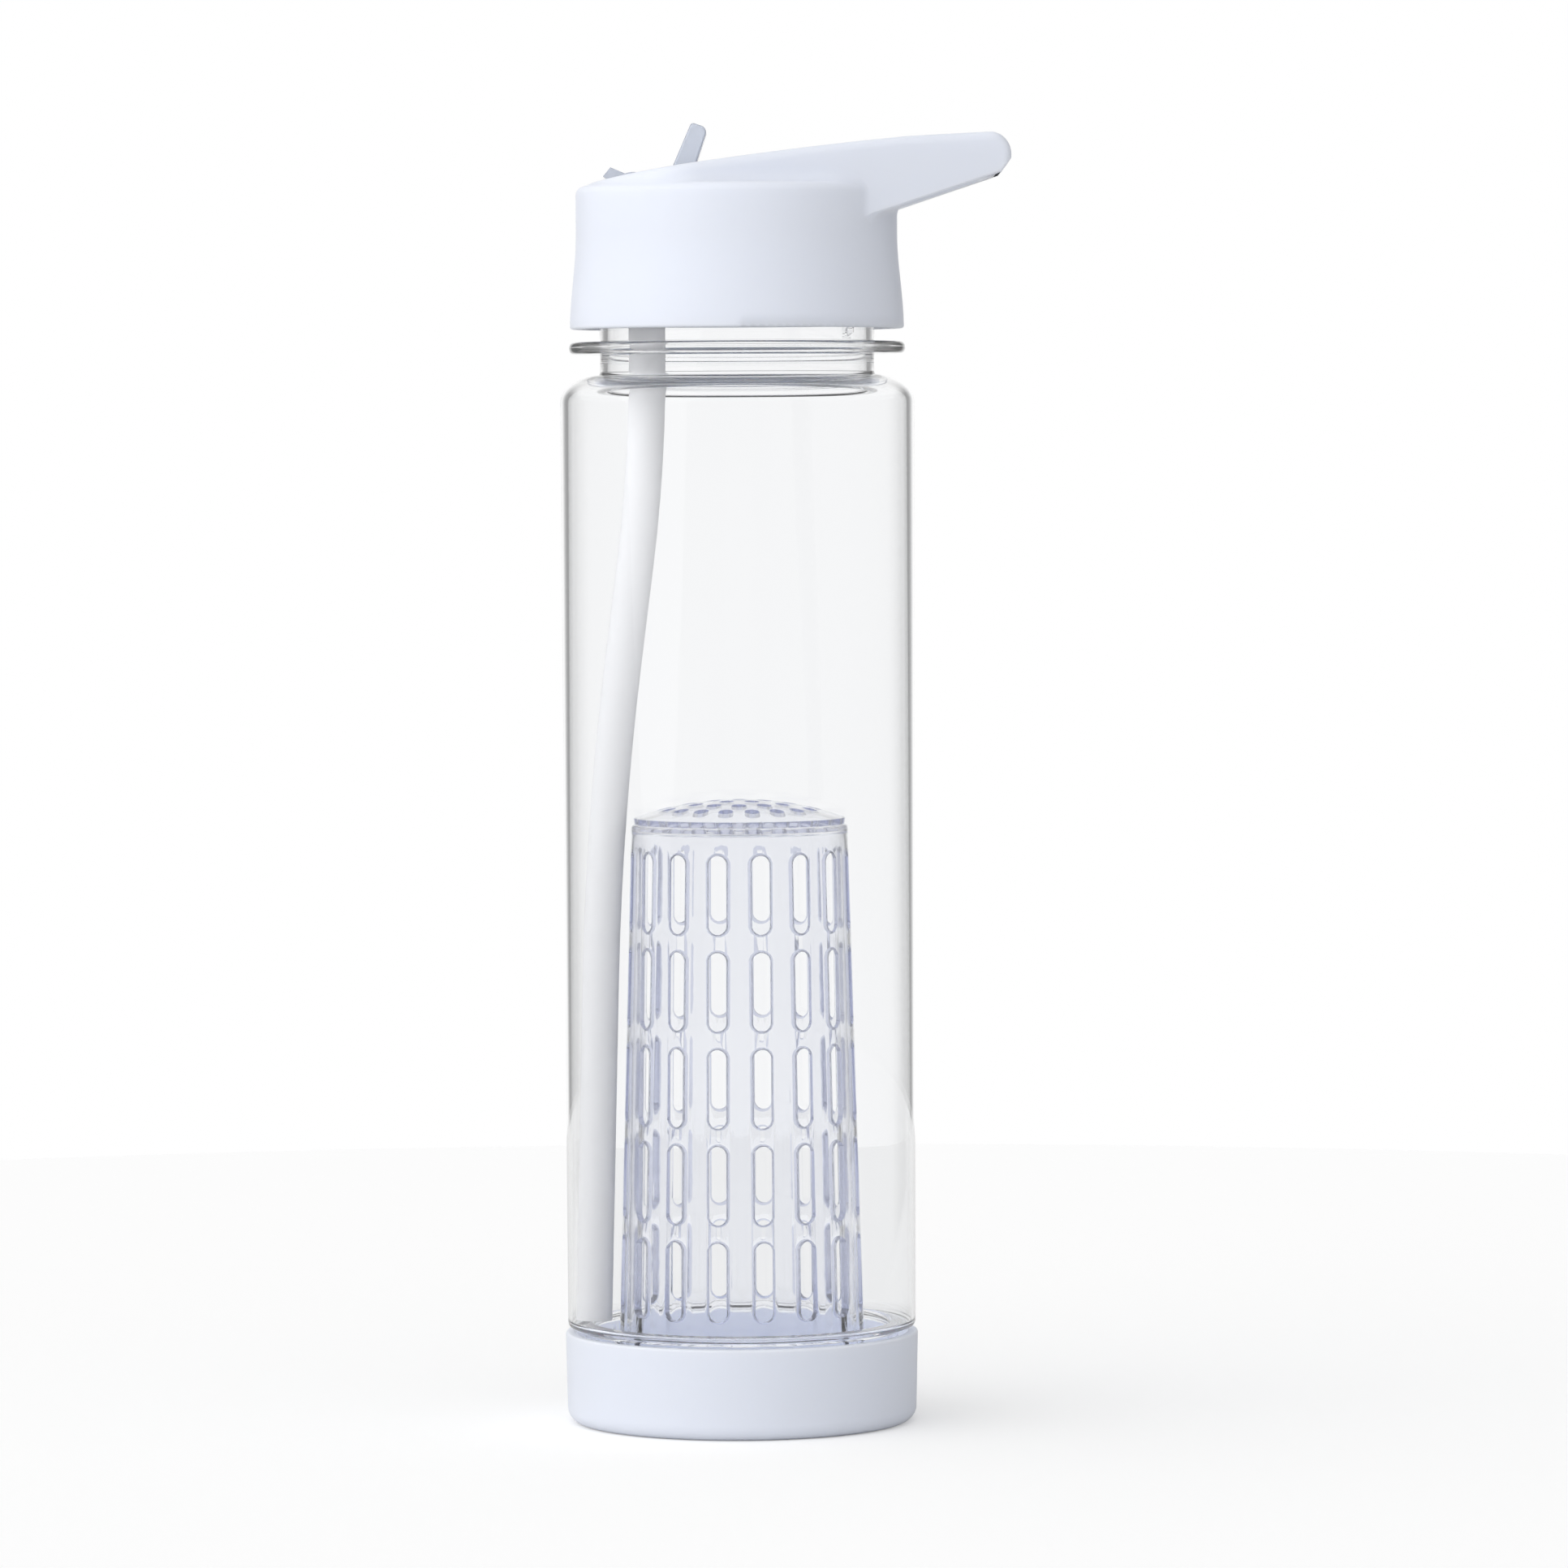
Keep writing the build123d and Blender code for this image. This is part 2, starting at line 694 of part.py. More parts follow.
def vent_valve():
    """Silicone valve that lets air in under the lid."""
    flange_z = seat_z - valve_flange_height
    bill_z = flange_z - valve_bill_length
    valve = Pos(valve_x, 0, flange_z) * extrude(Circle(valve_flange_r), valve_flange_height)
    valve += Pos(valve_x, 0, seat_z) * extrude(Circle(valve_hole_r - running_gap), pocket_z - seat_z)
    valve += Pos(valve_x, 0, pocket_z) * extrude(Circle(valve_head_r), valve_head_height)
    root = Plane.XY.offset(flange_z) * Pos(valve_x, 0) * Circle(valve_head_r)
    bill = Plane.XY.offset(bill_z) * Pos(valve_x, 0) * SlotOverall(2 * valve_head_r, valve_bill_width)
    valve += loft([bill, root])
    bore_z = bill_z + valve_head_height
    return valve - Pos(valve_x, 0, bore_z) * extrude(Circle(valve_bore_r), tip_z - bore_z)


pieces = {
    "base_cup": base_cup,
    "base_gasket": base_gasket,
    "infuser_basket": infuser_basket,
    "bottle_body": bottle_body,
    "lid_gasket": lid_gasket,
    "lid_cap": lid_cap,
    "spout_seal": spout_seal,
    "flip_spout": flip_spout,
    "straw": straw,
    "vent_valve": vent_valve,
}

os.makedirs("parts", exist_ok=True)
for name, make in pieces.items():
    export_step(make(), f"parts/{name}.step")
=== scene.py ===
from math import cos, hypot, pi, radians, sin, sqrt, tan

import bpy
from mathutils import Matrix, Quaternion, Vector


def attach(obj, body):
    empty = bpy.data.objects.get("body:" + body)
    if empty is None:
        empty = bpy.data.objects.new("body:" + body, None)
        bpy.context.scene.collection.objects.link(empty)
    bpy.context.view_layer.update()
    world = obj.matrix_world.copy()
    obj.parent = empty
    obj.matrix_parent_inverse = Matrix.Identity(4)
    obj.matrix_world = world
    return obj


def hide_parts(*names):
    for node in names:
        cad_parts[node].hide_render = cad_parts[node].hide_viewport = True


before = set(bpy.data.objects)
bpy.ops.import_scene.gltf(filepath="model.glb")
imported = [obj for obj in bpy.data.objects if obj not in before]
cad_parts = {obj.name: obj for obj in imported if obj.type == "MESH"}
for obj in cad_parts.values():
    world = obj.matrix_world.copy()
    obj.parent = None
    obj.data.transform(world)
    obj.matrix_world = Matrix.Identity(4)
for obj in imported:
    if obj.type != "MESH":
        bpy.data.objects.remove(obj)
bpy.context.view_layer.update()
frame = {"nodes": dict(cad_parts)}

# Lengths below are in millimetres, unless a name or a comment says otherwise
MM = 0.001

# Steps of round pieces and of their rounded corners, and how points merge and faces shade
SPIN_STEPS = 240
BASKET_STEPS = 144
CORNER_STEPS = 6
SHOULDER_STEPS = 24
MERGE = 1e-6
SMOOTH_ANGLE = radians(32)

# Clear bottle
BARREL_R = 35.5
BARREL_WALL = 1.5
LOWER_NECK_R = 31.9
LOWER_NECK_Z = 4.8
NECK_WALL = 1.9
UPPER_NECK_WALL = 1.4
RIM_Z = 18.7
RIM_CORNER = 1.5
SHOULDER_Z = 205.2
SHOULDER_RISE = 5.4
NECK_R = 27.8
NECK_TOP_Z = 235.4
NECK_FILLET = 0.7
BEAD_Z = 216.0
BEAD_R = 33.0
BEAD_TIP = 0.95
BEAD_ROOT = 1.7

# Screw threads on its two necks; the root sinks into the wall, and the ends fade by an angle
THREAD_HEIGHT = 1.0
THREAD_ROOT = 0.25
THREAD_WIDTH = 2.2
THREAD_CREST = 1.2
THREAD_PITCH = 4.0
THREAD_TURNS = 1.45
THREAD_STEPS = 120
THREAD_FADE = radians(14)
THREAD_LEAD = 0.55
UPPER_THREAD_Z = 219.2
UPPER_THREAD_START = radians(-37)
LOWER_THREAD_Z = 7.4
LOWER_THREAD_START = radians(150)

# The lid's carry loop, which sinks and thickens evenly from its root to its tip
LOOP_ROOT_X = 33.5
LOOP_TIP_X = 54.8
LOOP_TOP_Z = 259.5
LOOP_DEPTH = 7.0
LOOP_SINK = 0.7
LOOP_SWELL = 0.6

# Fruit basket: its wall and roof
BASKET_FOOT_R = 24.6
BASKET_FOOT_Z = 2.8
BASKET_FLARE_Z = 8.0
BASKET_WIDE_R = 24.85
BASKET_WIDE_Z = 10.5
BASKET_TOP_R = 22.95
BASKET_TOP_Z = 121.2
BASKET_CROWN = 4.2
BASKET_WALL = 2.0
BASKET_CORNER = 2.2
BASKET_ROOF_STEPS = 14

# Its slots; their rounding starts a little outside the wall, so that its rim cuts cleanly
SLOT_ROWS = 5
SLOTS_PER_ROW = 16
SLOT_LENGTH = 15.7
SLOT_WIDTH = 3.7
SLOT_FIRST_Z = 30.35
SLOT_PITCH = 19.25
SLOT_ROUNDING = 0.7
SLOT_ROUNDING_DEPTH = 0.92 * SLOT_ROUNDING
SLOT_ROUNDING_STEPS = 5
SLOT_END_STEPS = 16

# The holes in its roof: one in the middle, then rings of 6, 12 and 18
HOLE_R = 1.5
HOLE_STEPS = 20
HOLE_RINGS = 3
HOLE_RING_STEP = 5.0
HOLES_IN_FIRST_RING = 6
DRILL_OVERRUN = 1.0

# Its bayonet lugs
LUG_COUNT = 3
LUG_Z = 3.1
LUG_HEIGHT = 1.9
LUG_REACH = 1.7
LUG_ANGLE = radians(24)
LUG_STEPS = 6

# Moulded finish: how low and how high its noise mostly goes, and its marks, with their depths in metres
NOISE_LOW = 0.3
NOISE_HIGH = 0.7
CLOUD_DETAIL = 3
GRAIN_DETAIL = 2
FINE_BUMP = 0.0001
WAVE_BUMP = 0.0004

# Inside of the white base, and a glow painted on it there: painted light that stands in for the light that
# comes through its wall
CUP_INSIDE_R = 33.6
CUP_FLOOR_Z = 2.5
CUP_PAINTED_GLOW = 0.28
CUP_PAINTED_GLOW_COLOUR = (0.86, 0.88, 1.0)
BLACK = (0, 0, 0)

# Painted shade that darkens the translucent spout towards its edges
PAINTED_SHADE_BLEND = 0.35
SPOUT_EDGE_PAINTED_SHADE = (0.20, 0.23, 0.28, 1)

# The photograph's camera, in metres, but for the sensor, which is in millimetres
CAMERA_DISTANCE = 1.55
CAMERA_HEIGHT = 0.200
AIM = Vector((0.0090, 0, 0.1284))
VIEW_WIDTH = 0.3153
CAMERA_ROLL = radians(-0.27)
SENSOR_WIDTH = 36
NEAREST = 0.01
FARTHEST = 50

# Floor, in metres
FLOOR_R = 0.6
FLOOR_STEPS = 96
FLOOR_GLOW = 0.3
FLOOR_TONE = 0.8

# Key lamp
KEY_ENERGY = 0.45
KEY_SIZE = radians(60)
KEY_DIRECTION = (0.85, 0.6, -0.45)

# Surroundings: ambient light, and the levels that clear pieces see from front (-1) to backdrop (1)
AMBIENT = 0.70
AMBIENT_LEAN = (-0.40, -0.33, 0.13)
FLAGS = ((-1, 0.70), (0, 0.72), (0.62, 0.80), (0.80, 0.34), (0.92, 0.32), (0.965, 1.0))
STEEP = (0.18, 0.42)
STEEP_LEVEL = 0.92
INSIDE_GAIN = 0.9
WHITE = (1, 1, 1, 1)

# How often light may pass or bounce off a wall
CLEAR_BOUNCES = 32
GLOSSY_BOUNCES = 16


# Making shapes


def pick(piece):
    """Select one piece alone and make it the active one."""
    bpy.ops.object.select_all(action="DESELECT")
    piece.select_set(True)
    bpy.context.view_layer.objects.active = piece


def start_primitive(add, **settings):
    """Add a primitive with nothing else selected and go into edit mode with all of it selected."""
    bpy.ops.object.select_all(action="DESELECT")
    add(**settings)
    bpy.ops.object.mode_set(mode="EDIT")
    bpy.ops.mesh.select_all(action="SELECT")
    return bpy.context.object


def finish_shape(piece, name):
    """Merge doubled points, turn all faces outwards, and bake the piece's place into its mesh."""
    bpy.ops.mesh.select_all(action="SELECT")
    bpy.ops.mesh.remove_doubles(threshold=MERGE)
    bpy.ops.mesh.normals_make_consistent(inside=False)
    bpy.ops.object.mode_set(mode="OBJECT")
    bpy.ops.object.transform_apply(location=True, rotation=True, scale=True)
    piece.name = piece.data.name = name
    return piece


def smooth(piece):
    """Shade a piece smooth, but for its sharp edges."""
    pick(piece)
    bpy.ops.object.shade_smooth_by_angle(angle=SMOOTH_ANGLE)


def dress(piece, material):
    """Give a piece one material all over."""
    piece.data.materials.clear()
    piece.data.materials.append(material)
    for slot in piece.material_slots:
        slot.material = material


def draw_outline(points, closed=True):
    """Draw a wire in the XZ plane, one extruded point after another."""
    places = [Vector((x * MM, 0, z * MM)) for x, z in points]
    piece = start_primitive(bpy.ops.mesh.primitive_plane_add, size=MM, location=places[0])
    bpy.ops.mesh.merge(type="CENTER")
    for place, following in zip(places, places[1:]):
        bpy.ops.mesh.extrude_region_move(TRANSFORM_OT_translate={"value": following - place})
    if closed:
        bpy.ops.object.mode_set(mode="OBJECT")
        piece.data.vertices[0].select = True
        bpy.ops.object.mode_set(mode="EDIT")
        bpy.ops.mesh.edge_face_add()
    bpy.ops.mesh.select_all(action="SELECT")
    return piece


def spin_outline(name, points, steps, closed=True):
    """Draw an outline and spin it all the way round the bottle's axis."""
    piece = draw_outline(points, closed)
    bpy.ops.mesh.spin(steps=steps, angle=2 * pi, center=(0, 0, 0), axis=(0, 0, 1))
    return finish_shape(piece, name)


def rounded(corners):
    """Points of an outline from corners (x, z, radius), each rounded by an arc."""
    points = []
    for index, (x, z, radius) in enumerate(corners):
        corner = Vector((x, z))
        if not radius:
            points.append((x, z))
            continue
        back = (Vector(corners[index - 1][:2]) - corner).normalized()
        ahead = (Vector(corners[(index + 1) % len(corners)][:2]) - corner).normalized()
        half = back.angle(ahead) / 2
        centre = corner + (back + ahead).normalized() * radius / sin(half)
        first = corner + back * radius / tan(half) - centre
        last = corner + ahead * radius / tan(half) - centre
        for step in range(CORNER_STEPS + 1):
            points.append(tuple(centre + first.slerp(last, step / CORNER_STEPS)))
    return points


def quarter_ellipse(centre_x, centre_z, wide, high, inset=0):
    """Points of a shoulder from a straight wall up to a neck, or of its inside, at an even depth."""
    points = []
    for step in range(1, SHOULDER_STEPS):
        angle = step / SHOULDER_STEPS * pi / 2
        outward = Vector((cos(angle) / wide, sin(angle) / high)).normalized()
        place = Vector((centre_x + wide * cos(angle), centre_z + high * sin(angle)))
        points.append((*(place - outward * inset), 0))
    return points


def dome(radius, low_z, rise, outward):
    """Points of a shallow dome between the axis and its rim, or the other way; no point on the rim."""
    sphere_r = (radius**2 + rise**2) / (2 * rise)
    centre_z = low_z + rise - sphere_r
    places = [radius * step / BASKET_ROOF_STEPS for step in range(BASKET_ROOF_STEPS)]
    points = [(x, centre_z + sqrt(sphere_r**2 - x**2), 0) for x in places]
    return points if outward else points[::-1]


def apply_boolean(piece, tool, operation):
    """Cut a piece with a tool, or join them, and remove the tool; cut faces keep its material."""
    modifier = piece.modifiers.new(operation.lower(), "BOOLEAN")
    modifier.operation = operation
    modifier.solver = "EXACT"
    modifier.material_mode = "TRANSFER"
    modifier.object = tool
    pick(piece)
    bpy.ops.object.modifier_apply(modifier=modifier.name)
    bpy.data.objects.remove(tool)


def join_copies(tool, places):
    """Copy a tool to each place, given as a matrix, join the copies and remove the first one."""
    copies = []
    for place in places:
        copy = tool.copy()
        copy.data = tool.data.copy()
        bpy.context.collection.objects.link(copy)
        copy.data.transform(place)
        copies.append(copy)
    pick(copies[0])
    for copy in copies:
        copy.select_set(True)
    bpy.ops.object.join()
    bpy.data.objects.remove(tool)
    return copies[0]


# Bottle


def bottle_outline():
    """Half-section of the bottle, outside going up and inside coming down."""
    lip = NECK_WALL / 3
    root, tip = BEAD_ROOT / 2, BEAD_TIP / 2
    inner_r = BARREL_R - BARREL_WALL
    lower_bore_r = LOWER_NECK_R - NECK_WALL
    bore_r = NECK_R - UPPER_NECK_WALL
    floor_z = RIM_Z + BARREL_WALL
    inner_top_z = SHOULDER_Z + SHOULDER_RISE - BARREL_WALL
    shoulder = (NECK_R, SHOULDER_Z, BARREL_R - NECK_R, SHOULDER_RISE)
    return [
        (LOWER_NECK_R, LOWER_NECK_Z, lip),
        (LOWER_NECK_R, RIM_Z, lip),
        (BARREL_R, RIM_Z, RIM_CORNER),
        (BARREL_R, SHOULDER_Z, 0),
        *quarter_ellipse(*shoulder),
        (NECK_R, SHOULDER_Z + SHOULDER_RISE, NECK_FILLET),
        (NECK_R, BEAD_Z - root, NECK_FILLET),
        (BEAD_R, BEAD_Z - tip, BEAD_TIP / 3),
        (BEAD_R, BEAD_Z + tip, BEAD_TIP / 3),
        (NECK_R, BEAD_Z + root, NECK_FILLET),
        (NECK_R, NECK_TOP_Z, lip),
        (bore_r, NECK_TOP_Z, lip / 2),
        (bore_r, inner_top_z, NECK_FILLET),
        (NECK_R, inner_top_z, 0),
        *reversed(quarter_ellipse(*shoulder, inset=BARREL_WALL)),
        (inner_r, SHOULDER_Z, 0),
        (inner_r, floor_z, RIM_CORNER / 2),
        (lower_bore_r, floor_z, NECK_FILLET),
        (lower_bore_r, LOWER_NECK_Z, lip / 2),
    ]


def make_thread(name, wall_r, low_z, start):
    """A right-hand thread ridge on a neck, fading into the wall at both ends."""
    whole_turn = THREAD_TURNS * 2 * pi
    root = wall_r - THREAD_ROOT
    crest = wall_r + THREAD_HEIGHT
    wide, narrow = THREAD_WIDTH / 2, THREAD_CREST / 2
    ridge = draw_outline([(root, -wide), (crest, -narrow), (crest, narrow), (root, wide)])
    bpy.ops.object.mode_set(mode="OBJECT")
    screw = ridge.modifiers.new("screw", "SCREW")
    screw.angle = whole_turn
    screw.screw_offset = THREAD_TURNS * THREAD_PITCH * MM
    screw.steps = screw.render_steps = THREAD_STEPS
    screw.use_normal_calculate = True
    bpy.ops.object.modifier_apply(modifier=screw.name)
    for vertex in ridge.data.vertices:
        height = vertex.co.z / MM
        radius = hypot(vertex.co.x, vertex.co.y) / MM
        turned = height / THREAD_PITCH * 2 * pi
        if radius > wall_r:
            to_end = min(turned, whole_turn - turned) + THREAD_LEAD
            sink = 1 - min(1, max(0, to_end / THREAD_FADE))
            scale = (radius - sink * THREAD_HEIGHT) / radius
            vertex.co.x *= scale
            vertex.co.y *= scale
        vertex.co.z = (height + low_z) * MM
    bpy.ops.object.mode_set(mode="EDIT")
    bpy.ops.mesh.select_all(action="DESELECT")
    bpy.ops.mesh.select_non_manifold()
    bpy.ops.mesh.fill_holes(sides=0)
    ridge = finish_shape(ridge, name)
    ridge.rotation_euler.z = start
    bpy.ops.object.transform_apply(location=False, rotation=True, scale=False)
    return ridge


def make_bottle():
    """Clear bottle with a bead and threads on its upper neck and threads on its lower one."""
    bottle = spin_outline("clear_bottle", rounded(bottle_outline()), SPIN_STEPS)
    upper = make_thread("upper_thread", NECK_R, UPPER_THREAD_Z, UPPER_THREAD_START)
    lower = make_thread("lower_thread", LOWER_NECK_R, LOWER_THREAD_Z, LOWER_THREAD_START)
    apply_boolean(bottle, upper, "UNION")
    apply_boolean(bottle, lower, "UNION")
    smooth(bottle)
    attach(bottle, "bottle")
    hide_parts("bottle_body")
    return bottle


# Lid


def make_lid():
    """The lid's moulding, with the loop's end as low and as deep as in the photograph."""
    node = frame["nodes"]["lid_cap"]
    lid = bpy.data.objects.new("lid_moulding", node.data.copy())
    bpy.context.collection.objects.link(lid)
    lid.data.transform(node.matrix_world)
    pick(lid)
    bpy.ops.object.mode_set(mode="EDIT")
    bpy.ops.mesh.select_all(action="SELECT")
    bpy.ops.mesh.remove_doubles(threshold=MERGE)
    bpy.ops.object.mode_set(mode="OBJECT")
    for vertex in lid.data.vertices:
        along = (vertex.co.x / MM - LOOP_ROOT_X) / (LOOP_TIP_X - LOOP_ROOT_X)
        if along > 0:
            below = min(1, max(0, (LOOP_TOP_Z - vertex.co.z / MM) / LOOP_DEPTH))
            vertex.co.z -= along * (LOOP_SINK + LOOP_SWELL * below) * MM
    smooth(lid)
    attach(lid, "lid")
    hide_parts("lid_cap")
    return lid


# Fruit basket


def basket_radius(height):
    """Outer radius of the tapered basket at a height."""
    share = (height - BASKET_WIDE_Z) / (BASKET_TOP_Z - BASKET_WIDE_Z)
    return BASKET_WIDE_R + (BASKET_TOP_R - BASKET_WIDE_R) * share


def basket_outline():
    """Half-section of the basket: under the roof, down the inside, up the outside, over the roof."""
    inner_top_r = BASKET_TOP_R - BASKET_WALL
    inner_top_z = BASKET_TOP_Z - BASKET_WALL
    return [
        *dome(inner_top_r, inner_top_z, BASKET_CROWN, outward=True),
        (inner_top_r, inner_top_z, BASKET_WALL / 2),
        (BASKET_WIDE_R - BASKET_WALL, BASKET_WIDE_Z, 0),
        (BASKET_FOOT_R - BASKET_WALL, BASKET_FLARE_Z, 0),
        (BASKET_FOOT_R - BASKET_WALL, BASKET_FOOT_Z, 0),
        (BASKET_FOOT_R, BASKET_FOOT_Z, 0),
        (BASKET_FOOT_R, BASKET_FLARE_Z, 0),
        (BASKET_WIDE_R, BASKET_WIDE_Z, 0),
        (BASKET_TOP_R, BASKET_TOP_Z, BASKET_CORNER),
        *dome(BASKET_TOP_R, BASKET_TOP_Z, BASKET_CROWN, outward=False),
    ]


def slot_tool():
    """A cutter for one round-ended slot, flared at both faces of the wall; it points along +X."""
    radius = SLOT_WIDTH / 2
    end_r = radius + SLOT_ROUNDING
    half_length = (SLOT_LENGTH - SLOT_WIDTH) / 2
    beyond = BASKET_WALL / 2
    outer = []
    for step in range(SLOT_ROUNDING_STEPS + 1):
        angle = step / SLOT_ROUNDING_STEPS * pi / 2
        flare = SLOT_ROUNDING * (1 - cos(angle))
        outer.append((radius + flare, SLOT_ROUNDING * sin(angle) - SLOT_ROUNDING_DEPTH))
    inner = [(x, -BASKET_WALL - z) for x, z in reversed(outer)]
    below = [(0, -BASKET_WALL - beyond), (end_r, -BASKET_WALL - beyond)]
    above = [(end_r, beyond), (0, beyond)]
    tool = spin_outline("slot_tool", below + inner + outer + above, SLOT_END_STEPS, closed=False)
    tool.data.transform(Matrix.Rotation(pi / SLOT_END_STEPS, 4, "Z"))
    for vertex in tool.data.vertices:
        if abs(vertex.co.y) > MERGE:
            vertex.co.y += half_length * MM * (1 if vertex.co.y > 0 else -1)
        vertex.co.z -= vertex.co.x**2 / (2 * BASKET_TOP_R * MM)
    stand_up = Matrix(((0, 0, 1, 0), (1, 0, 0, 0), (0, 1, 0, 0), (0, 0, 0, 1)))
    tool.data.transform(stand_up)
    return tool


def slot_places():
    """Where each slot's cutter goes."""
    lean = (BASKET_WIDE_R - BASKET_TOP_R) / (BASKET_TOP_Z - BASKET_WIDE_Z)
    for row in range(SLOT_ROWS):
        height = SLOT_FIRST_Z + row * SLOT_PITCH
        for place in range(SLOTS_PER_ROW):
            turn = Matrix.Rotation((place + 0.5) * 2 * pi / SLOTS_PER_ROW, 4, "Z")
            out = Matrix.Translation((basket_radius(height) * MM, 0, height * MM))
            yield turn @ out @ Matrix.Rotation(-lean, 4, "Y")


def hole_places():
    """Where each roof hole's cutter goes."""
    yield Matrix.Identity(4)
    for ring in range(1, HOLE_RINGS + 1):
        out = Matrix.Translation((ring * HOLE_RING_STEP * MM, 0, 0))
        holes = ring * HOLES_IN_FIRST_RING
        for place in range(holes):
            yield Matrix.Rotation(place * 2 * pi / holes, 4, "Z") @ out


def lug_places():
    """Where each lug goes."""
    for place in range(LUG_COUNT):
        yield Matrix.Rotation(place * 2 * pi / LUG_COUNT - LUG_ANGLE / 2, 4, "Z")


def make_drill():
    """A cutter for one roof hole, through the roof's whole crown."""
    depth = BASKET_CROWN + BASKET_WALL + BASKET_CORNER + DRILL_OVERRUN
    top_z = BASKET_TOP_Z + BASKET_CROWN + DRILL_OVERRUN
    drill = start_primitive(
        bpy.ops.mesh.primitive_cylinder_add,
        vertices=HOLE_STEPS,
        radius=HOLE_R * MM,
        depth=depth * MM,
        location=(0, 0, (top_z - depth / 2) * MM),
    )
    return finish_shape(drill, "drill")


def make_lug():
    """One bayonet lug on the basket's foot."""
    low, high = LUG_Z, LUG_Z + LUG_HEIGHT
    near, far = BASKET_FOOT_R - BASKET_WALL / 2, BASKET_FOOT_R + LUG_REACH
    lug = draw_outline([(near, low), (far, low), (far, high), (near, high)])
    bpy.ops.mesh.edge_face_add()
    bpy.ops.mesh.spin(steps=LUG_STEPS, angle=LUG_ANGLE, center=(0, 0, 0), axis=(0, 0, 1))
    return finish_shape(lug, "lug")


def make_basket(basket_clear, slot_walls_painted_shade):
    """Clear fruit basket with rounded slots, a pierced roof and bayonet lugs."""
    basket = spin_outline("fruit_basket", rounded(basket_outline()), BASKET_STEPS, closed=False)
    slots = join_copies(slot_tool(), slot_places())
    holes = join_copies(make_drill(), hole_places())
    dress(basket, basket_clear)
    # The cut faces of the slots and holes take the slot walls' painted shade
    dress(slots, slot_walls_painted_shade)
    dress(holes, slot_walls_painted_shade)
    apply_boolean(basket, slots, "DIFFERENCE")
    apply_boolean(basket, holes, "DIFFERENCE")
    apply_boolean(basket, join_copies(make_lug(), lug_places()), "UNION")
    smooth(basket)
    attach(basket, "basket")
    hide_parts("infuser_basket")
    return basket


# Wiring nodes


def plug(links, sockets, values):
    """Link or set each socket."""
    for socket, value in zip(sockets, values):
        if isinstance(value, bpy.types.NodeSocket):
            links.new(value, socket)
        else:
            socket.default_value = value


def calculate(nodes, links, operation, *values):
    """A math node on sockets or numbers; returns its output."""
    node = nodes.new("ShaderNodeMath")
    node.operation = operation
    plug(links, node.inputs, values)
    return node.outputs["Value"]


def mix_values(nodes, links, factor, first, second):
    """Blend two values; returns the output."""
    node = nodes.new("ShaderNodeMix")
    node.data_type = "FLOAT"
    plug(links, [node.inputs["Factor"], node.inputs["A"], node.inputs["B"]], (factor, first, second))
    return node.outputs["Result"]


def mix_colours(nodes, links, factor, first, second):
    """Blend two colours; returns the output."""
    node = nodes.new("ShaderNodeMix")
    node.data_type = "RGBA"
    plug(links, [node.inputs["Factor"], node.inputs["A"], node.inputs["B"]], (factor, first, second))
    return node.outputs["Result"]


def range_of_noise(nodes, links, noise, low, high):
    """Stretch a noise to a range; returns the output."""
    node = nodes.new("ShaderNodeMapRange")
    node.inputs["From Min"].default_value = NOISE_LOW
    node.inputs["From Max"].default_value = NOISE_HIGH
    node.inputs["To Min"].default_value = low
    node.inputs["To Max"].default_value = high
    links.new(noise, node.inputs["Value"])
    return node.outputs["Result"]


# Materials


def new_group(name, inputs, outputs):
    """A shader node group with named value sockets, its inputs with their defaults."""
    group = bpy.data.node_groups.new(name, "ShaderNodeTree")
    for label, value in inputs.items():
        socket = group.interface.new_socket(label, in_out="INPUT", socket_type="NodeSocketFloat")
        socket.default_value = value
    for label in outputs:
        group.interface.new_socket(label, in_out="OUTPUT", socket_type="NodeSocketFloat")
    return group, group.nodes.new("NodeGroupInput"), group.nodes.new("NodeGroupOutput")


def moulded_finish():
    """Flow marks and fine grain of a moulded plastic: a soft cloud and a fine texture."""
    group, entry, leave = new_group(
        "moulded_finish", {"Cloud Scale": 20.0, "Grain Scale": 900.0, "Stretch": 0.35}, ("Cloud", "Grain")
    )
    nodes, links = group.nodes, group.links
    place = nodes.new("ShaderNodeTexCoord").outputs["Object"]
    stretch = nodes.new("ShaderNodeCombineXYZ")
    plug(links, stretch.inputs, (1, 1, entry.outputs["Stretch"]))
    drawn_out = nodes.new("ShaderNodeVectorMath")
    drawn_out.operation = "MULTIPLY"
    plug(links, drawn_out.inputs, (place, stretch.outputs["Vector"]))
    marks = (("Cloud", CLOUD_DETAIL, drawn_out.outputs["Vector"]), ("Grain", GRAIN_DETAIL, place))
    for label, detail, where in marks:
        noise = nodes.new("ShaderNodeTexNoise")
        noise.inputs["Detail"].default_value = detail
        links.new(where, noise.inputs["Vector"])
        links.new(entry.outputs[f"{label} Scale"], noise.inputs["Scale"])
        links.new(noise.outputs["Fac"], leave.inputs[label])
    return group


FINISH = moulded_finish()


